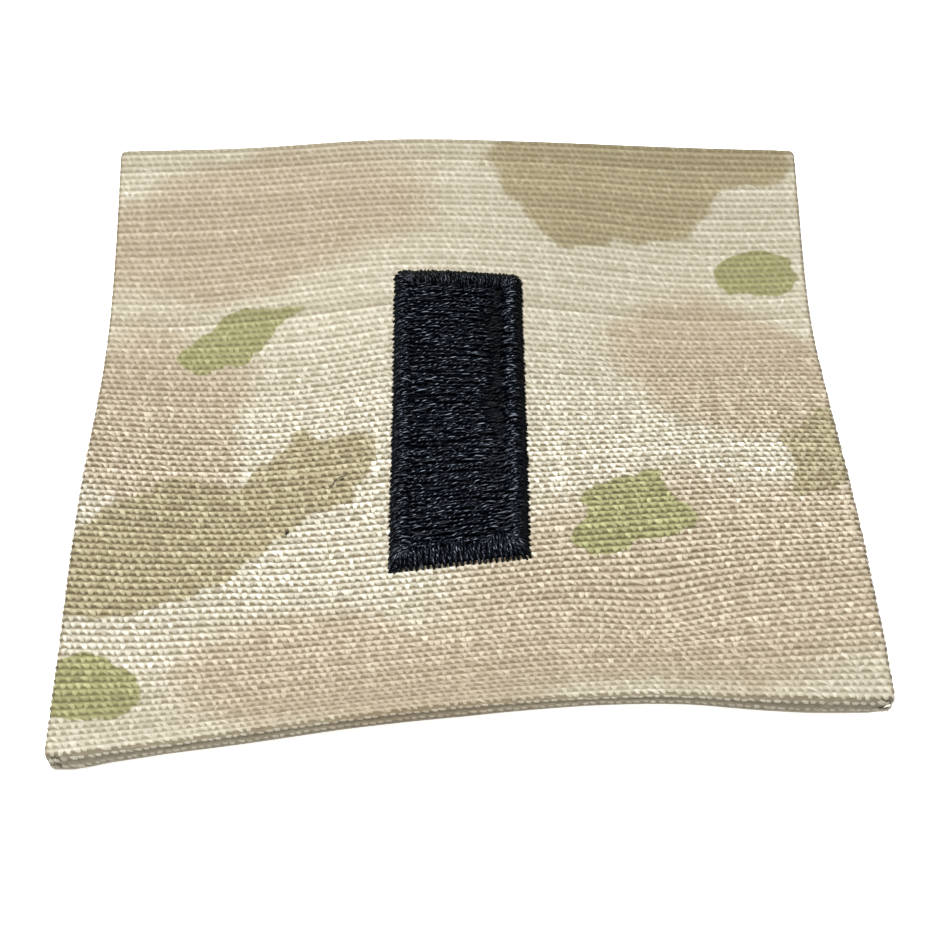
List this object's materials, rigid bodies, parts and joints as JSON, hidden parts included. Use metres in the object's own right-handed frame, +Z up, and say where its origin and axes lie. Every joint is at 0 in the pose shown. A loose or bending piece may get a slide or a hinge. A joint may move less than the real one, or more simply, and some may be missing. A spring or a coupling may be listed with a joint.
{
  "type": "sew-on rank patch",
  "caption": "Square sew-on rank patch of printed ripstop cloth with folded edges and one embroidered upright bar, lying lightly buckled.",
  "frame": {"origin": "middle of the patch's outline, on the surface that it lies on", "axes": "+Z up out of the face, the front edge towards -Y, the bar's length along Y"},
  "size_m": [0.0504, 0.05, 0.0062],
  "materials": {
    "printed_cloth": "matt plain-weave ripstop with a soft four-colour print",
    "border_thread": "dark satin-stitched thread with a soft sheen",
    "fill_thread": "dark rows of thread, slightly fuzzy"
  },
  "bodies": {
    "root": {"ground_cloth": "printed_cloth", "bar_border": "border_thread", "bar_fill": "fill_thread"}
  },
  "joints": []
}
